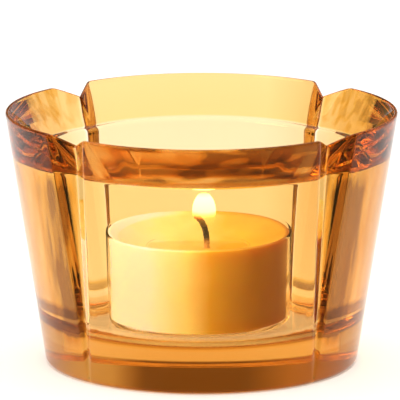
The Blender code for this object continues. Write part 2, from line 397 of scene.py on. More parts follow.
@dataclass(frozen=True)
class AmberGlass:
    """Clear pressed glass with the slow waves of a mould, stained amber outside.

    The stain's depth is set by place, and past its even amber it is painted light and shade:
    painted shade deeper to the right and at the far left, painted dark streaks beside the front
    notches and on the side bevel, painted light and dark streaks on the side lobes, painted dark
    bands along the front rim, painted light and dark lines round the base, and a painted glint
    along each groove where the stain is thinner.
    """

    bare: Colour = WHITE
    stain: Colour = (0.98, 0.69, 0.29)
    # Painted shade: the deeper colours that the depth reaches past the even coat, down to the
    # painted dark streaks.
    painted_deep_shade: Colour = (0.75, 0.34, 0.04)
    painted_streak_shade: Colour = (0.16, 0.055, 0.010)
    tint: Colour = (0.89, 0.66, 0.20)
    density: float = 38.0
    ior: float = 1.52
    sheen_tint: Colour = (0.5, 0.27, 0.08)
    surface: Ripple = Ripple(70.0, 0.3, 700.0, 0.02, 0.06 * MM)
    roughness: Band = (0.45, 0.75, 0.0, 0.03)
    # Noise for the painted streaks, and below it for the painted rim bands.
    streaks: Ripple = Ripple(420.0, 0.05, 900.0, 0.0)
    bands: Ripple = Ripple(95.0, 4.0, 900.0, 0.0)

    # Where each part of the stain and of its painted light and shade lies, by X, Y, Z or X's
    # share of the distance from the axis.
    wall_foot: Band = (6.0 * MM, 12.0 * MM, 0.0, 1.0)
    wall_head: Band = (40.0 * MM, 45.0 * MM, 1.0, 0.0)
    front_half: Band = (-2.0 * MM, 2.0 * MM, 1.0, 0.0)
    notch_side: Band = (0.70, 0.76, 0.0, 1.0)
    notch_far_side: Band = (0.82, 0.90, 1.0, 0.0)
    side_lobes: Band = (0.70, 0.80, 0.0, 1.0)
    rim_foot: Band = (44.0 * MM, 46.0 * MM, 0.0, 1.0)
    front_rim: Band = (-30.0 * MM, -18.0 * MM, 1.0, 0.0)
    side_bevel: Band = (0.6, 0.8, 0.0, 1.0)

    # How deep it is there. The even coat is 0.4 deep; more is painted shade and less is painted
    # light.
    # Painted shade: the even coat of 0.4 deepens to the right and at the far left.
    coat_and_right_shade: Band = (14.0 * MM, 34.0 * MM, 0.4, 0.66)
    painted_left_shade: Band = (-34.0 * MM, -24.0 * MM, 0.18, 0.0)
    # Painted shade and light: dark streaks beside the front notches, light and dark streaks on the
    # side lobes.
    painted_streak_depth: Band = (0.38, 0.58, 0.50, 0.80)
    painted_lobe_streaks: float = 0.5
    # Painted shade: dark bands along the front rim, fading out to the left.
    rim_shade_depth: Band = (0.42, 0.58, 0.0, 0.7)
    rim_shade_left: Band = (-23.0 * MM, -13.0 * MM, 0.1, 1.0)
    # Painted shade: dark streaks on the side bevel.
    bevel_depth: Band = (0.48, 0.6, 0.0, 0.18)
    # Painted shade at the very foot, and painted light and dark lines round the base.
    painted_foot_shade: Band = (0.3 * MM, 1.2 * MM, 0.4, 0.0)
    painted_base_lines: tuple[tuple[Band, Band], ...] = (
        ((6.4 * MM, 7.0 * MM, 0.1, -0.12), (9.2 * MM, 9.5 * MM, 1.0, 0.0)),
        ((9.6 * MM, 10.0 * MM, 0.0, 0.45), (11.2 * MM, 12.4 * MM, 1.0, 0.0)))
    # Painted glint: the stain is half as deep along each groove, so a light line shows there.
    fold_side: float = 0.7071
    painted_groove_glint: Band = (0.003, 0.012, 0.5, 1.0)

    def stain_and_painted_shade(self, shader: Shader) -> Field:
        """How deep the stain is, 0 where the glass is bare, with painted light and shade added by
        place.
        """
        right, back, level = shader.axes()
        side = right.size() / (right * right + back * back).sqrt().at_least(1.0 * MM)
        streak, _ = shader.ripple(self.streaks)
        rim_shade, _ = shader.ripple(self.bands)
        wall = (level.ramp(*self.wall_foot) * level.ramp(*self.wall_head)
                * back.ramp(*self.front_half))
        beside = side.ramp(*self.notch_side) * side.ramp(*self.notch_far_side) * wall
        lobes = side.ramp(*self.side_lobes) * wall
        rim = level.ramp(*self.rim_foot)
        # The even coat, plus painted shade and painted light by place.
        depth = (right.ramp(*self.coat_and_right_shade) + right.ramp(*self.painted_left_shade)
                 + beside * streak.ramp(*self.painted_streak_depth)
                 + lobes * (streak - 0.5) * self.painted_lobe_streaks
                 + rim * back.ramp(*self.front_rim) * rim_shade.ramp(*self.rim_shade_depth)
                 * right.ramp(*self.rim_shade_left)
                 + rim * side.ramp(*self.side_bevel) * streak.ramp(*self.bevel_depth)
                 + level.ramp(*self.painted_foot_shade))
        for line, end in self.painted_base_lines:
            depth = depth + level.ramp(*line) * level.ramp(*end)
        coat = add_node(shader.tree, "ShaderNodeAttribute", attribute_name="stain")
        # Painted glint along each groove.
        groove_glint = (side - self.fold_side).size().ramp(*self.painted_groove_glint)
        return depth * groove_glint * Field(shader.tree, coat.outputs["Fac"])

    def make(self) -> Material:
        """Build the material."""
        shader = Shader("amber_glass_finish")
        shader.put(Transmission_Weight=1.0, IOR=self.ior, Metallic=0.0,
                   Specular_Tint=(*self.sheen_tint, 1.0))
        # At 0.4 is the even amber coat; deeper is painted shade, down to the painted dark streaks,
        # and shallower is painted light.
        shader.colours(self.stain_and_painted_shade(shader),
                       [(0.0, self.bare), (0.4, self.stain), (0.7, self.painted_deep_shade),
                        (1.0, self.painted_streak_shade)], "Base_Color")
        _, grain = shader.ripple(self.surface)
        shader.put(Roughness=grain.ramp(*self.roughness))
        shader.absorb(self.tint, self.density)
        return shader.material


@dataclass(frozen=True)
class ClearBody:
    """Something clear that tints the light that passes through it."""

    name: str
    ior: float
    tint: Colour
    density: float
    surface: Ripple
    sheen_tint: Colour = WHITE
    roughness: Band | None = None

    def make(self) -> Material:
        """Build the material."""
        shader = Shader(self.name)
        shader.put(Transmission_Weight=1.0, IOR=self.ior, Metallic=0.0, Roughness=0.0,
                   Base_Color=(*WHITE, 1.0), Specular_Tint=(*self.sheen_tint, 1.0))
        _, grain = shader.ripple(self.surface)
        if self.roughness is not None:
            shader.put(Roughness=grain.ramp(*self.roughness))
        shader.absorb(self.tint, self.density)
        return shader.material


# The indices of refraction of these two are lower than real ones, which keeps dark lines
# off the tealight and the pool.
CLEAR_PLASTIC = ClearBody("clear_plastic_finish", 1.05, (0.88, 0.72, 0.50), 50.0,
                          Ripple(120.0, 0.2, 1500.0, 0.05, 0.01 * MM), (0.5, 0.3, 0.12),
                          (0.4, 0.8, 0.01, 0.08))
MELTED_WAX = ClearBody("melted_wax_finish", 1.15, (0.99, 0.86, 0.45), 60.0,
                       Ripple(90.0, 1.0, 300.0, 0.0, 0.01 * MM))


@dataclass(frozen=True)
class Paraffin:
    """Wax that light soaks into, with painted light and shade across it: pale cream at -X as if
    lit, dark honey at +X as if in shade.
    """

    # Painted light and shade: from pale where lit, at -X, to dark honey in shade, at +X.
    stops: tuple[tuple[float, Colour], ...] = (
        (0.22, (0.98, 0.85, 0.84)), (0.42, (0.99, 0.78, 0.32)),
        (0.56, (0.78, 0.44, 0.03)), (0.9, (0.42, 0.13, 0.006)))
    roughness: float = 0.42
    ior: float = 1.44
    soak_weight: float = 0.75
    soak_colour: Colour = (1.0, 0.55, 0.25)
    soak_depth: float = 5.0 * MM
    surface: Ripple = Ripple(160.0, 0.6, 2500.0, 0.3, 0.03 * MM)
    mottle: float = 0.12
    # The painted light and shade spreads more gently over the dish.
    dish_slope: float = 0.40
    dish_start: float = 0.29
    dish_edge: tuple[float, float] = (1.8 * MM, 0.9 * MM)

    def make(self, reach: float, top: float, slope: float) -> Material:
        """Build the material.

        Args:
            reach: The wax's radius at its top.
            top: The level of its top.
            slope: How much the radius grows for each unit of height.

        Returns:
            The finished material.
        """
        shader = Shader("paraffin_finish")
        shader.put(Roughness=self.roughness, IOR=self.ior, Subsurface_Weight=self.soak_weight,
                   Subsurface_Radius=self.soak_colour, Subsurface_Scale=self.soak_depth)
        height, _ = shader.ripple(self.surface)
        right, back, level = shader.axes()
        # Painted light and shade across the wax from -X to +X, gentler on the dish.
        across = right.ramp(-reach, reach, 0.0, 1.0)
        radius = (right * right + back * back).sqrt() + (top - level) * slope
        inner, outer = self.dish_edge
        dish = radius.ramp(reach - inner, reach - outer, 1.0, 0.0)
        shade = (1.0 - dish) * across + dish * (across * self.dish_slope + self.dish_start)
        shader.colours(shade + (height - 0.6) * self.mottle, self.stops, "Base_Color")
        return shader.material


@dataclass(frozen=True)
class CharredCotton:
    """Cotton strands: pale and wax-soaked low down, charred above, with a glowing tip."""

    soaked: Colour = (0.62, 0.33, 0.10)
    char: Colour = (0.012, 0.008, 0.006)
    ember: Colour = (0.16, 0.035, 0.012)
    glow_colour: Colour = (1.0, 0.16, 0.02)
    glow_strength: float = 1.2
    glow: Band = (0.88, 1.0, 0.0, 1.0)
    uneven: Band = (0.3, 0.7, -0.06, 0.06)
    surface: Ripple = Ripple(900.0, 1.0, 5000.0, 0.6, 0.05 * MM)

    def make(self, low: float, high: float) -> Material:
        """Build the material for a wick that leaves the wax at low and ends at high."""
        shader = Shader("charred_cotton_finish")
        _, grain = shader.ripple(self.surface)
        share = shader.height_share(low, high) + grain.ramp(*self.uneven)
        shader.colours(share, [(0.0, self.soaked), (0.22, self.soaked), (0.4, self.char),
                               (0.84, self.char), (1.0, self.ember)], "Base_Color")
        glow = share.ramp(*self.glow)
        ember = add_node(shader.tree, "ShaderNodeCombineColor",
                         {key: glow * part for key, part in enumerate(self.glow_colour)})
        shader.put(Roughness=0.85, Sheen_Weight=0.3, Emission_Color=ember,
                   Emission_Strength=self.glow_strength)
        return shader.material


@dataclass(frozen=True)
class TinnedSteel:
    """Thin tinned steel, faintly brushed."""

    bright: Colour = (0.74, 0.74, 0.72)
    dull: Colour = (0.55, 0.55, 0.53)
    roughness: Band = (0.3, 0.7, 0.25, 0.45)
    surface: Ripple = Ripple(400.0, 1.0, 4000.0, 0.5, 0.01 * MM)

    def make(self) -> Material:
        """Build the material."""
        shader = Shader("tinned_steel_finish")
        _, grain = shader.ripple(self.surface)
        shader.put(Metallic=1.0, Roughness=grain.ramp(*self.roughness))
        shader.colours(grain, [(0.3, self.dull), (0.7, self.bright)], "Base_Color")
        return shader.material


@dataclass(frozen=True)
class FlameGlow:
    """Hot gas: faint at its foot, yellow-white in its body."""

    strength: float = 4.5
    stops: tuple[tuple[float, Colour], ...] = (
        (0.0, (0.9, 0.35, 0.05)), (0.3, (1.0, 0.5, 0.08)), (0.48, (1.0, 0.8, 0.35)),
        (0.85, (1.0, 0.84, 0.45)), (1.0, (1.0, 0.62, 0.16)))
    alpha: tuple[float, ...] = (0.0, 0.06, 0.9, 1.0, 0.75)

    def make(self, low: float, high: float) -> Material:
        """Build the material for a flame between two levels."""
        shader = Shader("flame_finish")
        shader.put(Base_Color=(0.0, 0.0, 0.0, 1.0), Roughness=1.0, Specular_IOR_Level=0.0,
                   Emission_Strength=self.strength)
        shader.colours(shader.height_share(low, high), self.stops, "Emission_Color", self.alpha)
        return shader.material


@dataclass(frozen=True)
class StudioPaper:
    """The plain white sheet that the holder stands on."""

    white: Colour = (0.93, 0.93, 0.93)
    shade: Colour = (0.90, 0.90, 0.90)
    surface: Ripple = Ripple(8.0, 1.0, 900.0, 0.2)

    def make(self) -> Material:
        """Build the material."""
        shader = Shader("studio_paper_finish")
        shader.put(Roughness=0.9, Specular_IOR_Level=0.1)
        height, _ = shader.ripple(self.surface)
        shader.colours(height, [(0.3, self.shade), (0.8, self.white)], "Base_Color")
        return shader.material


# ---- Mesh helpers ----

def new_object(name: str, mesh: Mesh) -> Object:
    """Put a mesh in the scene under its own name."""
    obj = bpy.data.objects.new(name, mesh)
    bpy.context.scene.collection.objects.link(obj)
    return obj


def point_outwards(mesh: Mesh) -> None:
    """Turn every face of a closed mesh round if its volume comes out negative."""
    volume = 0.0
    mesh.calc_loop_triangles()
    for triangle in mesh.loop_triangles:
        a, b, c = (mesh.vertices[index].co for index in triangle.vertices)
        volume += a.dot(b.cross(c))
    if volume < 0.0:
        mesh.flip_normals()


def arc_points(centre: Point, radius: float, start: float, stop: float,
               steps: int) -> list[Point]:
    """Points on an arc in a turned profile.

    Args:
        centre: The arc's centre.
        radius: The arc's radius.
        start: First angle in degrees, 0 pointing outwards and 90 upwards.
        stop: Last angle in degrees.
        steps: Number of pieces.

    Returns:
        The points.
    """
    angles = [math.radians(start + (stop - start) * step / steps) for step in range(steps + 1)]
    return [(centre[0] + radius * math.cos(angle), centre[1] + radius * math.sin(angle))
            for angle in angles]


def turned(name: str, profile: Sequence[Point], steps: int, centre: Vector) -> Object:
    """Turn a profile round an upright axis into a closed smooth piece.

    Args:
        name: The piece's name.
        profile: Points from the upper axis point down the outside to the lower one, or a
            closed loop that stays off the axis.
        steps: Number of pieces round the axis.
        centre: Where the axis stands.

    Returns:
        The piece, with its faces pointing outwards.
    """
    vertices: list[Vector] = []
    rows: list[list[int]] = []
    for radius, height in profile:
        row = []
        for step in range(steps if radius > 0.0 else 1):
            angle = FULL_TURN * step / steps
            row.append(len(vertices))
            vertices.append(centre + Vector((radius * math.cos(angle),
                                             radius * math.sin(angle), height)))
        rows.append(row)
    faces = []
    closed_loop = profile[0][0] > 0.0
    for upper, lower in zip(rows, rows[1:] + ([rows[0]] if closed_loop else [])):
        for step in range(steps):
            after = (step + 1) % steps
            a, b = upper[step % len(upper)], upper[after % len(upper)]
            c, d = lower[after % len(lower)], lower[step % len(lower)]
            corners = list(dict.fromkeys((a, d, c, b)))
            if len(corners) > 2:
                faces.append(corners)
    mesh = bpy.data.meshes.new(name)
    mesh.from_pydata(vertices, [], faces)
    mesh.shade_smooth()
    point_outwards(mesh)
    return new_object(name, mesh)


def dress(piece: Object, material: Material, body: Body,
          replaced: Iterable[str] = ()) -> None:
    """Give a finished piece its material and body, and hide the frame's nodes that it stands for.

    Args:
        piece: The finished piece.
        material: Its finish.
        body: The body that it rides on.
        replaced: Names of the frame's nodes that it replaces.
    """
    piece.data.materials.clear()
    piece.data.materials.append(material)
    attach(piece, body.value)
    for node in replaced:
        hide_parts(node)
    LOG.info("%s: %d faces on %s", piece.name, len(piece.data.polygons), body.value)


# ---- Glass ----

@dataclass(frozen=True)
class Ring:
    """One level outline of the glass.

    It has the radii of the lobe's middle and end and of the groove, the lobe's half angle,
    the height, the dip of the notch, the crease's rounding and how much it is stained.
    """

    middle: float
    end: float
    corner: float
    half_angle: float
    level: float
    dip: float = 0.0
    crease: float = 0.0
    stain: float = 1.0

    def grown(self, width: float, level: float) -> Ring:
        """The same outline moved outwards and set at another height."""
        return Ring(self.middle + width, self.end + width, self.corner + width,
                    self.half_angle, level, self.dip, self.crease, self.stain)

    def toward(self, other: Ring, share: float) -> Ring:
        """The outline that lies a share of the way to another."""
        pairs = zip(vars(self).values(), vars(other).values())
        return Ring(*(a + (b - a) * share for a, b in pairs))


def lobed_loft_tree() -> NodeTree:
    """A geometry tree that lofts a chain of ring values into a lobed, notched body.

    Each point of the incoming mesh is one ring and carries a Ring's values as attributes.
    The outline is the smaller of the lobe's arc and the notch's straight facet, joined
    smoothly.
    """
    tree, start, end = new_group(
        "lobed_loft", "Geometry",
        [("Rings", "Geometry", None), ("Lobes", "Int", 4), ("Steps Per Lobe", "Int", 88),
         ("Groove Softness", "Float", 0.004), ("Merge Distance", "Float", 0.000002),
         ("Finish", "Material", None)],
        [("Glass", "Geometry")])
    given = start.outputs
    lobes = Field(tree, given["Lobes"])
    quarter = Field(tree, FULL_TURN) / lobes
    size = add_node(tree, "GeometryNodeAttributeDomainSize", {0: given["Rings"]},
                    component="MESH")
    count = Field(tree, size.outputs["Point Count"])
    columns = lobes * Field(tree, given["Steps Per Lobe"]) + 1.0
    grid = add_node(tree, "GeometryNodeMeshGrid", {"Size X": 1.0, "Size Y": 1.0,
                                                   "Vertices X": columns, "Vertices Y": count})
    split = add_node(tree, "ShaderNodeSeparateXYZ",
                     {0: add_node(tree, "GeometryNodeInputPosition")})
    around = (Field(tree, split.outputs["X"]) + 0.5) * lobes
    ring = ((Field(tree, split.outputs["Y"]) + 0.5) * (count - 1.0)).math("ROUND")

    def read(name: str) -> Field:
        """The ring's own value of an attribute."""
        named = add_node(tree, "GeometryNodeInputNamedAttribute", {"Name": name},
                         data_type="FLOAT")
        feeds = {"Geometry": given["Rings"], "Value": named.outputs["Attribute"], "Index": ring}
        sample = add_node(tree, "GeometryNodeSampleIndex", feeds, data_type="FLOAT",
                          domain="POINT")
        return Field(tree, sample.outputs["Value"])

    middle, lobe_end, corner, half_angle, level, dip, crease, stain = (
        read(name) for name in ("middle", "end", "corner", "half_angle", "level", "dip",
                                "crease", "stain"))

    # Place across the lobe: 0 at its middle, 1 at the groove. Columns crowd at the creases.
    crowd_start, crowd_end, crowd_reach = 0.36, 0.64, 0.3
    whole = around.math("FLOOR")
    part = around - whole
    across = 1.0 - (part * 2.0 - 1.0).size()
    groove_angle = quarter / 2.0
    facet_angle = groove_angle - half_angle
    margin = facet_angle * crowd_reach
    angle = (across.ramp(0.0, crowd_start, 0.0, half_angle - margin)
             + across.ramp(crowd_start, crowd_end, 0.0, margin * 2.0)
             + across.ramp(crowd_end, 1.0, 0.0, facet_angle - margin))

    # The lobe is an arc through its middle and its two ends.
    reach = (middle - lobe_end * half_angle.cos()) * 2.0
    centre = (middle * middle - lobe_end * lobe_end) / reach
    arc = middle - centre
    sideways = centre * angle.sin()
    on_arc = centre * angle.cos() + (arc * arc - sideways * sideways).sqrt()

    # The facet is a straight line from the lobe's end to the groove, whose bottom is rounded.
    left = groove_angle - angle
    soft = Field(tree, given["Groove Softness"])
    softened = (left * left + soft * soft).sqrt()
    facet_at = (groove_angle - softened).at_least(half_angle - facet_angle)
    over = lobe_end * corner * facet_angle.sin()
    under = lobe_end * (facet_at - half_angle).sin() + corner * (groove_angle - facet_at).sin()
    radius = on_arc.math("SMOOTH_MIN", over / under, crease)

    # The rim dips along the facet, and the second half of a lobe mirrors the first.
    dip_softness = 0.25
    along = ((angle - half_angle) / facet_angle).math("SMOOTH_MAX", 0.0, dip_softness).at_most(1.0)
    second_half = part.math("GREATER_THAN", 0.5)
    heading = (whole + second_half) * quarter + angle * (1.0 - second_half * 2.0)
    place = add_node(tree, "ShaderNodeCombineXYZ",
                     {"X": radius * heading.cos(), "Y": radius * heading.sin(),
                      "Z": level - dip * along})
    keep = add_node(tree, "GeometryNodeStoreNamedAttribute",
                    {"Name": "stain", "Geometry": grid, "Value": stain},
                    data_type="FLOAT", domain="POINT")
    move = add_node(tree, "GeometryNodeSetPosition", {"Geometry": keep, "Position": place})
    merge = add_node(tree, "GeometryNodeMergeByDistance",
                     {"Geometry": move, "Distance": given["Merge Distance"]})
    end_with_finish(tree, start, end, merge)
    return tree


@dataclass
class GlassHolder:
    """The pressed glass: round thick floor, flared wall, four lobes and a bevelled rim."""

    height: float = 52.5 * MM
    base_radius: float = 32.2 * MM
    rim_radius: float = 40.5 * MM
    base_round: float = 1.1 * MM
    lobe_bulge: float = 0.96 * MM
    notch_angle: float = 7.56
    notch_foot_angle: float = 1.0
    notch_depth: float = 3.3 * MM
    rim_dip: float = 2.2 * MM
    rim_width: float = 0.8 * MM
    bevel_height: float = 8.1 * MM
    bevel_width: float = 5.9 * MM
    ledge: float = 1.1 * MM
    ridge_angle: float = 5.7
    ridge_height: float = 0.2 * MM
    floor_thickness: float = 9.2 * MM
    wall_at_floor: float = 7.2 * MM
    floor_fillet: float = 3.5 * MM
    punt_radius: float = 27.0 * MM
    punt_depth: float = 0.35 * MM
    crease_round: float = 0.45 * MM
    inner_crease_round: float = 0.8 * MM
    lobes: int = 4
    round_steps: int = 8
    wall_rows: int = 14
    finish: AmberGlass = field(default_factory=AmberGlass)

    def outside(self, level: float) -> Ring:
        """Outer outline at a height: round at the base, lobed and notched at the rim."""
        share = level / self.height
        middle = self.base_radius + (self.rim_radius - self.base_radius) * share
        lobe_end = middle - self.lobe_bulge * share
        notch = self.notch_foot_angle + (self.notch_angle - self.notch_foot_angle) * share
        return Ring(middle, lobe_end, lobe_end - self.notch_depth * share,
                    math.radians(180.0 / self.lobes - notch), level, 0.0,
                    self.crease_round * min(1.0, share * 4.0))

    def bevel_foot(self) -> Ring:
        """Outline where the wide inner bevel ends."""
        level = self.height - self.bevel_height
        outer = self.outside(level)
        width = outer.middle - (self.rim_radius - self.rim_width - self.bevel_width)
        half_angle = math.radians(180.0 / self.lobes - self.ridge_angle)
        lobe_end = outer.end - width
        flat = lobe_end * math.cos(math.pi / self.lobes - half_angle)
        return Ring(outer.middle - width, lobe_end, flat - self.ridge_height, half_angle, level,
                    0.0, self.inner_crease_round)

    def inner_wall(self, level: float) -> Ring:
        """Inner outline of the wall between the floor and the ledge."""
        foot = self.bevel_foot()
        top = replace(foot.grown(-self.ledge, foot.level - self.ledge), stain=0.0)
        radius = self.outside(self.floor_thickness).middle - self.wall_at_floor
        bottom = Ring(radius, radius, radius, foot.half_angle, self.floor_thickness, stain=0.0)
        span = top.level - self.floor_thickness
        return bottom.toward(top, (level - self.floor_thickness) / span)

    def disc(self, radius: float, level: float) -> Ring:
        """A round outline."""
        half_angle = math.radians(180.0 / self.lobes - self.notch_foot_angle)
        return Ring(radius, radius, radius, half_angle, level, stain=0.0)

    def arc(self, degrees: float) -> list[tuple[float, float]]:
        """Sine and cosine at even steps round an edge, from 0 to an angle."""
        turns = [math.radians(degrees * step / self.round_steps)
                 for step in range(self.round_steps + 1)]
        return [(math.sin(turn), math.cos(turn)) for turn in turns]

    def underside(self) -> list[Ring]:
        """Rings from the middle of the underside out to its standing edge."""
        rings = [self.disc(0.0005 * MM, self.punt_depth)]
        for share in (0.1, 0.3, 0.5, 0.7, 0.85):
            rings.append(self.disc(self.punt_radius * share, self.punt_depth))
        for share in (0.0, 0.25, 0.5, 0.75, 1.0):
            ease = 0.5 + 0.5 * math.cos(math.pi * share)
            rings.append(self.disc(self.punt_radius * (0.94 + 0.06 * share),
                                   self.punt_depth * ease))
        return rings

    def foot_round(self) -> list[Ring]:
        """Rings round the bottom edge."""
        rings = []
        for sine, cosine in self.arc(90.0):
            level = self.base_round * (1.0 - cosine)
            rings.append(self.outside(level).grown(-self.base_round * (1.0 - sine), level))
        return rings

    def wall(self) -> list[Ring]:
        """Rings up the outside, close together next to the rounded edges."""
        low = self.base_round
        high = self.height - self.rim_width / 2.0
        shares = [0.006] + [row / self.wall_rows for row in range(1, self.wall_rows)]
        rings = [self.outside(low + (high - low) * share) for share in shares]
        rings.append(replace(self.outside(high - 0.3 * MM), dip=self.rim_dip))
        return rings

    def rim(self) -> list[Ring]:
        """Rings over the half-round rim, which dips in the notches."""
        half = self.rim_width / 2.0
        edge = replace(self.outside(self.height - half), dip=self.rim_dip)
        return [edge.grown(-half * (1.0 - cosine), self.height - half * (1.0 - sine))
                for sine, cosine in self.arc(180.0)]

    def bevel(self, top: Ring) -> list[Ring]:
        """Rings down the wide bevel, from the rim to just above the ledge."""
        foot = self.bevel_foot()
        shares = (0.03, 0.1, 0.25, 0.4, 0.55, 0.7, 0.85, 0.95)
        return [top.toward(foot, share) for share in shares]

    def inside(self) -> list[Ring]:
        """Rings over the ledge, down the inner wall and over the floor to its middle."""
        top = self.height - self.bevel_height
        wall_top = self.inner_wall(top - self.ledge)
        rings = [wall_top.grown(self.ledge * (1.0 - sine), top - self.ledge * (1.0 - cosine))
                 for sine, cosine in self.arc(90.0)]
        fillet_top = self.floor_thickness + self.floor_fillet
        for share in (0.02, 0.1, 0.2, 0.35, 0.5, 0.65, 0.8, 0.9, 0.98):
            rings.append(self.inner_wall(wall_top.level + (fillet_top - wall_top.level) * share))
        edge = self.inner_wall(fillet_top)
        rings += [edge.grown(-self.floor_fillet * (1.0 - cosine),
                             fillet_top - self.floor_fillet * sine)
                  for sine, cosine in self.arc(90.0)]
        floor_radius = edge.middle - self.floor_fillet
        for share in (0.97, 0.8, 0.6, 0.4, 0.2, 0.08):
            rings.append(self.disc(floor_radius * share, self.floor_thickness))
        rings.append(self.disc(0.0005 * MM, self.floor_thickness))
        return rings

    def build(self) -> None:
        """Loft the glass and dress it."""
        rim = self.rim()
        rings = (self.underside() + self.foot_round() + self.wall() + rim
                 + self.bevel(rim[-1]) + self.inside())
        material = self.finish.make()
        values = {name: [getattr(ring, name) for ring in rings] for name in vars(rings[0])}
        piece = run_tree("glass_body", [(0.0, 0.0, ring.level) for ring in rings], values,
                         lobed_loft_tree(), {"Lobes": self.lobes, "Finish": material})
        dress(piece, material, Body.HOLDER, ("glass_holder",))


# ---- Tealight ----

def braid_tree() -> NodeTree:
    """A geometry tree that braids round strands along a path.

    Half of the strands wind one way and half the other, and each passes over and under.
    """
    tree, start, end = new_group(
        "wick_braid", "Geometry",
        [("Path", "Geometry", None), ("Strands", "Int", 8), ("Turns", "Float", 6.0),
         ("Braid Radius", "Float", 0.0004), ("Strand Radius", "Float", 0.0002),
         ("Weave", "Float", 0.00008), ("Points", "Int", 150), ("Fray", "Float", 0.00006),
         ("Fray Scale", "Float", 1400.0), ("Seed", "Float", 3.0), ("Sides", "Int", 8),
         ("Finish", "Material", None)],
        [("Wick", "Geometry")])
    given = start.outputs
    curve = add_node(tree, "GeometryNodeMeshToCurve", {"Mesh": given["Path"]})
    resample = add_node(tree, "GeometryNodeResampleCurve",
                        {"Curve": curve, "Count": given["Points"]})
    copies = add_node(tree, "GeometryNodeDuplicateElements",
                      {"Geometry": resample, "Amount": given["Strands"]}, domain="SPLINE")

    index = Field(tree, copies.outputs["Duplicate Index"])
    along = Field(tree, add_node(tree, "GeometryNodeSplineParameter").outputs["Factor"])
    strands = Field(tree, given["Strands"])
    way = index.math("MODULO", 2.0) * 2.0 - 1.0
    phase = index / strands * FULL_TURN
    winding = along * Field(tree, given["Turns"]) * FULL_TURN
    angle = way * winding + phase
    crossing = (winding * strands * 0.5 + phase * 0.5).cos() * way
    out = Field(tree, given["Braid Radius"]) + Field(tree, given["Weave"]) * crossing

    def scaled(direction: object, amount: Field) -> Node:
        """A direction times an amount."""
        return add_node(tree, "ShaderNodeVectorMath", {0: direction, "Scale": amount},
                        operation="SCALE")

    normal = add_node(tree, "GeometryNodeInputNormal")
    side = add_node(tree, "ShaderNodeVectorMath",
                    {0: add_node(tree, "GeometryNodeInputTangent"), 1: normal},
                    operation="CROSS_PRODUCT")
    total = add_node(tree, "ShaderNodeVectorMath",
                     {0: scaled(normal, out * angle.cos()), 1: scaled(side, out * angle.sin())},
                     operation="ADD")
    wind = add_node(tree, "GeometryNodeSetPosition",
                    {"Geometry": copies.outputs["Geometry"], "Offset": total})
    section = add_node(tree, "GeometryNodeCurvePrimitiveCircle",
                       {"Resolution": given["Sides"], "Radius": given["Strand Radius"]})
    tube = add_node(tree, "GeometryNodeCurveToMesh",
                    {"Curve": wind, "Profile Curve": section.outputs["Curve"],
                     "Fill Caps": True})

    noise = add_node(tree, "ShaderNodeTexNoise",
                     {"Scale": given["Fray Scale"], "W": given["Seed"]}, noise_dimensions="4D")
    fray = (Field(tree, noise.outputs["Fac"]) * 2.0 - 1.0) * Field(tree, given["Fray"])
    roughen = add_node(tree, "GeometryNodeSetPosition",
                       {"Geometry": tube, "Offset": scaled(normal, fray)})
    end_with_finish(tree, start, end, roughen)
    return tree


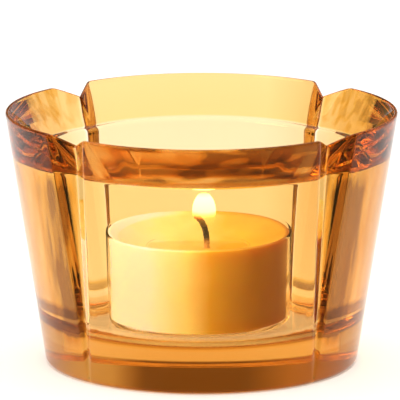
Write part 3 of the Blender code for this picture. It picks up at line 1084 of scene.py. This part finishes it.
@dataclass
class Tealight:
    """The loose tealight: a clear cup, wax with a melted pool, a steel clip and a wick."""

    cup_radius: float = 19.8 * MM
    cup_height: float = 18.6 * MM
    cup_draft: float = 0.9 * MM
    cup_wall: float = 0.7 * MM
    cup_round: float = 1.2 * MM
    shift: float = -0.7 * MM
    seat: float = 9.5 * MM
    fill_below_lip: float = 0.4 * MM
    wax_land: float = 0.6 * MM
    dish_depth: float = 4.3 * MM
    dish_power: float = 2.5
    pool_level: float = 1.1 * MM
    wick_shift: float = 1.8 * MM
    wick_radius: float = 0.65 * MM
    wick_above_dish: float = 7.6 * MM
    wick_lean: float = 2.3 * MM
    wick_bend_power: float = 4.0
    clip_radius: float = 6.5 * MM
    clip_thickness: float = 0.3 * MM
    clip_neck_wall: float = 0.3 * MM
    clip_neck_height: float = 3.0 * MM
    gap: float = 0.3 * MM
    wax_touch: float = 0.02 * MM
    wax_edge_round: float = 0.25 * MM
    pool_sunk: float = 0.05 * MM
    meniscus: float = 0.06 * MM
    meniscus_power: int = 6
    clip_bore_gap: float = 0.05 * MM
    clip_neck_round: float = 0.3 * MM
    clip_ring_height: float = 0.25 * MM
    clip_steps: int = 72
    wick_foot_gap: float = 0.1 * MM
    steps: int = 144
    dish_steps: int = 30
    wax_finish: Paraffin = field(default_factory=Paraffin)
    pool_finish: ClearBody = MELTED_WAX
    cup_finish: ClearBody = CLEAR_PLASTIC
    wick_finish: CharredCotton = field(default_factory=CharredCotton)
    clip_finish: TinnedSteel = field(default_factory=TinnedSteel)

    def axis(self) -> Vector:
        """Where the tealight's axis meets its own underside."""
        return Vector((self.shift, 0.0, self.seat))

    def wick_axis(self) -> Vector:
        """Where the wick's axis meets the level of the tealight's underside."""
        return Vector((self.shift + self.wick_shift, 0.0, self.seat))

    def outer_radius(self, level: float) -> float:
        """The cup's outer radius at a height above its underside."""
        return self.cup_radius - self.cup_draft * (1.0 - level / self.cup_height)

    def wax_level(self) -> float:
        """Height of the wax above the cup's underside."""
        return self.cup_height - self.fill_below_lip

    def dish_level(self) -> float:
        """Height of the bottom of the wax's dish above the cup's underside."""
        return self.wax_level() - self.dish_depth

    def build(self) -> None:
        """Build the cup, the wax with its pool, the clip and the wick."""
        self.build_cup()
        self.build_wax()
        self.build_clip()
        self.build_wick()

    def build_cup(self) -> None:
        """Turn the clear cup with its rounded foot and lip."""
        inner_round = self.cup_round - self.cup_wall
        foot = self.outer_radius(self.cup_round)
        lip = self.cup_wall / 2.0
        profile = [(0.0, self.cup_wall), (foot * 0.5, self.cup_wall)]
        profile += arc_points((foot - self.cup_wall - inner_round, self.cup_wall + inner_round),
                              inner_round, -90.0, 0.0, 6)
        profile += arc_points((self.cup_radius - lip, self.cup_height - lip), lip, 180.0, 0.0, 10)
        profile += arc_points((foot - self.cup_round, self.cup_round), self.cup_round,
                              0.0, -90.0, 8)
        profile += [(foot * 0.5, 0.0), (0.0, 0.0)]
        piece = turned("cup_shell", profile, self.steps, self.axis())
        dress(piece, self.cup_finish.make(), Body.TEALIGHT, ("tealight_cup",))

    def dish_profile(self, reach: float) -> list[Point]:
        """Points from the middle of the wax's dish out to its edge."""
        shares = [step / self.dish_steps for step in range(self.dish_steps + 1)]
        return [(reach * share, self.dish_level() + self.dish_depth * share ** self.dish_power)
                for share in shares]

    def build_wax(self) -> None:
        """Turn the dished wax, and the shallow clear pool at the bottom of the dish."""
        bottom = self.cup_wall + self.wax_touch
        edge = self.cup_round - self.cup_wall
        top = self.wax_level()
        soft = self.wax_edge_round
        wall = self.outer_radius(top) - bottom
        reach = wall - self.wax_land
        low_wall = self.outer_radius(bottom + edge) - bottom
        profile = self.dish_profile(reach)
        profile += arc_points((wall - soft, top - soft), soft, 90.0, 0.0, 5)
        profile += arc_points((low_wall - edge, bottom + edge), edge, 0.0, -90.0, 6)
        profile += [(low_wall * 0.4, bottom), (0.0, bottom)]
        wax = turned("wax_body", profile, self.steps, self.axis())

        level = self.dish_level() + self.pool_level
        shore = reach * (self.pool_level / self.dish_depth) ** (1.0 / self.dish_power)
        surface = [(shore * share, level + self.meniscus * share ** self.meniscus_power)
                   for share in (0.0, 0.2, 0.4, 0.6, 0.8, 0.9, 0.96, 1.0)]
        under = [(radius, height - self.pool_sunk)
                 for radius, height in reversed(self.dish_profile(reach)) if radius < shore]
        pool = turned("melt_pool", surface + under, self.steps, self.axis())
        slope = self.cup_draft / self.cup_height
        dress(wax, self.wax_finish.make(wall, self.seat + top, slope), Body.TEALIGHT,
              ("wax",))
        dress(pool, self.pool_finish.make(), Body.TEALIGHT)

    def build_clip(self) -> None:
        """Turn the stamped steel clip: a disc with a raised ring and a crimped neck."""
        bottom = self.cup_wall + self.gap
        seat = bottom + self.clip_thickness
        bore = self.wick_radius + self.clip_bore_gap
        neck = self.wick_radius + self.gap + self.clip_neck_wall
        half = self.clip_thickness / 2.0
        upper = [(bore, seat + self.clip_neck_height), (neck * 0.85, seat + self.clip_neck_height),
                 (neck, seat + self.clip_neck_height * 0.8), (neck, seat + self.clip_neck_round),
                 (neck + self.clip_neck_round, seat)]
        for step in range(9):
            share = step / 8.0
            lift = self.clip_ring_height * math.sin(math.pi * share) ** 2
            upper.append((self.clip_radius * (0.5 + 0.3 * share), seat + lift))
        upper += arc_points((self.clip_radius - half, bottom + half), half, 90.0, -90.0, 6)
        piece = turned("clip_plate", upper + [(bore, bottom)], self.clip_steps, self.wick_axis())
        dress(piece, self.clip_finish.make(), Body.TEALIGHT, ("wick_clip",))

    def wick_tip(self) -> Vector:
        """The wick's burnt end."""
        return self.wick_axis() + Vector((-self.wick_lean, 0.0,
                                          self.dish_level() + self.wick_above_dish))

    def build_wick(self) -> None:
        """Braid the wick along its path: upright in the wax, bent over more and more above it."""
        axis = self.wick_axis()
        bottom = self.cup_wall + self.gap + self.wick_foot_gap
        foot = self.dish_level()
        points = [axis + Vector((0.0, 0.0, bottom + (foot - bottom) * step / 12.0))
                  for step in range(12)]
        for step in range(31):
            rise = step / 30.0
            points.append(axis + Vector((-self.wick_lean * rise ** self.wick_bend_power, 0.0,
                                         foot + self.wick_above_dish * rise)))
        material = self.wick_finish.make(self.seat + foot, self.wick_tip().z)
        piece = run_tree("wick_braid", points, {}, braid_tree(), {"Finish": material})
        dress(piece, material, Body.TEALIGHT, ("wick",))


@dataclass
class Flame:
    """The small flame that stands round the wick's tip."""

    wick_tip: Vector
    foot_shift: tuple[float, float, float] = (1.75 * MM, 0.0, -2.5 * MM)
    length: float = 7.6 * MM
    half_width: float = 2.4 * MM
    widest: float = 0.45
    foot_bluntness: float = 0.3
    tip_bluntness: float = 0.7
    tip_power: float = 2.1
    rows: int = 44
    steps: int = 48
    finish: FlameGlow = field(default_factory=FlameGlow)

    def radius(self, share: float) -> float:
        """The flame's half width at a share of its length: a dome, blunt at the foot."""
        if share < self.widest:
            rise = share / self.widest
            return self.half_width * (rise * (2.0 - rise)) ** self.foot_bluntness
        fall = (share - self.widest) / (1.0 - self.widest)
        return self.half_width * (1.0 - fall ** self.tip_power) ** self.tip_bluntness

    def build(self) -> None:
        """Turn the flame."""
        foot = self.wick_tip + Vector(self.foot_shift)
        profile = [(self.radius(row / self.rows), self.length * row / self.rows)
                   for row in range(self.rows, -1, -1)]
        profile[0] = (0.0, self.length)
        profile[-1] = (0.0, 0.0)
        piece = turned("flame", profile, self.steps, foot)
        dress(piece, self.finish.make(foot.z, foot.z + self.length), Body.TEALIGHT)


# ---- Studio ----

@dataclass(frozen=True)
class Softbox:
    """A rectangular studio light that points at the holder."""

    name: str
    place: tuple[float, float, float]
    width: float
    height: float
    power: float
    casts_shadow: bool

    def build(self, target: Vector) -> None:
        """Make the light, facing the target."""
        data = bpy.data.lights.new(self.name, "AREA")
        data.shape = "RECTANGLE"
        data.size = self.width
        data.size_y = self.height
        data.energy = self.power
        data.use_shadow = self.casts_shadow
        stand(self.name, data, Vector(self.place), target)


def stand(name: str, data: bpy.types.ID, place: Vector, target: Vector) -> Object:
    """Put a light or a camera in the scene, facing a target."""
    obj = bpy.data.objects.new(name, data)
    obj.location = place
    obj.rotation_mode = "QUATERNION"
    obj.rotation_quaternion = (place - target).to_track_quat("Z", "Y")
    bpy.context.scene.collection.objects.link(obj)
    return obj


@dataclass
class Studio:
    """The white sheet, the softbox, the surroundings and the camera.

    The surroundings are bands of brightness: a ceiling, a strip at the horizon, a backdrop
    behind the holder with a screen on either side of it, and the front, towards the camera.
    """

    camera_distance: float = 1.481
    camera_elevation: float = 12.502
    orbit_height: float = 24.3 * MM
    aim: tuple[float, float, float] = (-0.0003, 0.0, 0.0336)
    lens: float = 644.4
    floor_radius: float = 3.0
    floor_depth: float = 0.01
    floor_gap: float = 0.05 * MM
    key: Softbox = Softbox("key_left", (-0.8, -0.45, 0.5), 0.6, 0.6, 7.5, False)
    backdrop: float = 0.25
    front: float = 0.06
    ceiling: float = 1.68
    horizon: float = 0.9
    right_screen: float = 0.85
    left_screen: float = 0.6
    room_tint: Colour = (1.0, 0.68, 0.28)
    ceiling_band: Band = (0.5, 0.75, 0.0, 1.0)
    horizon_band: Band = (0.06, 0.14, 1.0, 0.0)
    behind_band: Band = (-0.2, 0.7, 0.0, 1.0)
    right_band: Band = (0.25, 0.42, 0.0, 1.0)
    left_band: Band = (-0.42, -0.2, 1.0, 0.0)

    def build_floor(self) -> None:
        """Lay the white sheet just under the holder."""
        profile = [(0.0, 0.0), (self.floor_radius, 0.0), (self.floor_radius, -self.floor_depth),
                   (0.0, -self.floor_depth)]
        floor = turned("floor", profile, 96, Vector((0.0, 0.0, -self.floor_gap)))
        floor.data.materials.append(StudioPaper().make())

    def build_surroundings(self) -> None:
        """Light the room by direction. Its lower parts are warm, but not the right screen."""
        world = bpy.data.worlds.new("studio_room")
        bpy.context.scene.world = world
        world.use_nodes = True
        tree = world.node_tree
        place = add_node(tree, "ShaderNodeTexCoord")
        split = add_node(tree, "ShaderNodeSeparateXYZ", {0: place.outputs["Generated"]})
        right, back, up = (Field(tree, split.outputs[axis]) for axis in "XYZ")
        ceiling = up.ramp(*self.ceiling_band)
        horizon = up.size().ramp(*self.horizon_band)
        behind = back.ramp(*self.behind_band)
        white = right.ramp(*self.right_band)
        screens = (white * (self.right_screen - self.backdrop) + self.backdrop
                   + right.ramp(*self.left_band) * (self.left_screen - self.backdrop))
        room = behind * screens + (1.0 - behind) * self.front
        level = room + ceiling * (self.ceiling - room) + horizon * (self.horizon - room)
        warm = (1.0 - white * behind) * (1.0 - ceiling) * (1.0 - horizon)
        tints = {key: 1.0 - warm * (1.0 - share) for key, share in enumerate(self.room_tint)}
        background = tree.nodes["Background"]
        level.feed(background.inputs["Strength"])
        Field(tree, add_node(tree, "ShaderNodeCombineColor", tints)).feed(
            background.inputs["Color"])

    def build_camera(self) -> None:
        """Stand the camera a little above the rim's level, far off, with a long lens."""
        elevation = math.radians(self.camera_elevation)
        place = Vector((0.0, -math.cos(elevation), math.sin(elevation))) * self.camera_distance
        place.z += self.orbit_height
        data = bpy.data.cameras.new("camera")
        data.sensor_width = 36.0
        data.lens = self.lens
        data.clip_start = 0.05
        data.clip_end = 50.0
        bpy.context.scene.camera = stand("camera", data, place, Vector(self.aim))

    def tune_light_paths(self) -> None:
        """Let light pass the many glass walls, and show whites as they are."""
        scene = bpy.context.scene
        scene.view_settings.view_transform = "Standard"
        limits = {"max_bounces": 32, "transmission_bounces": 32, "glossy_bounces": 12,
                  "diffuse_bounces": 6, "transparent_max_bounces": 16,
                  "caustics_refractive": True, "caustics_reflective": True,
                  "blur_glossy": 0.3, "sample_clamp_indirect": 6.0, "use_denoising": True}
        for name, value in limits.items():
            setattr(scene.cycles, name, value)

    def build(self) -> None:
        """Set up the whole studio."""
        self.build_floor()
        self.build_surroundings()
        self.key.build(Vector((0.0, 0.0, self.orbit_height)))
        self.build_camera()
        self.tune_light_paths()


def main() -> None:
    """Build every piece round the frame."""
    logging.basicConfig(level=logging.INFO, format="%(name)s: %(message)s")
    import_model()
    Studio().build()
    GlassHolder().build()
    tealight = Tealight()
    tealight.build()
    Flame(wick_tip=tealight.wick_tip()).build()


if __name__ == "__main__":
    main()
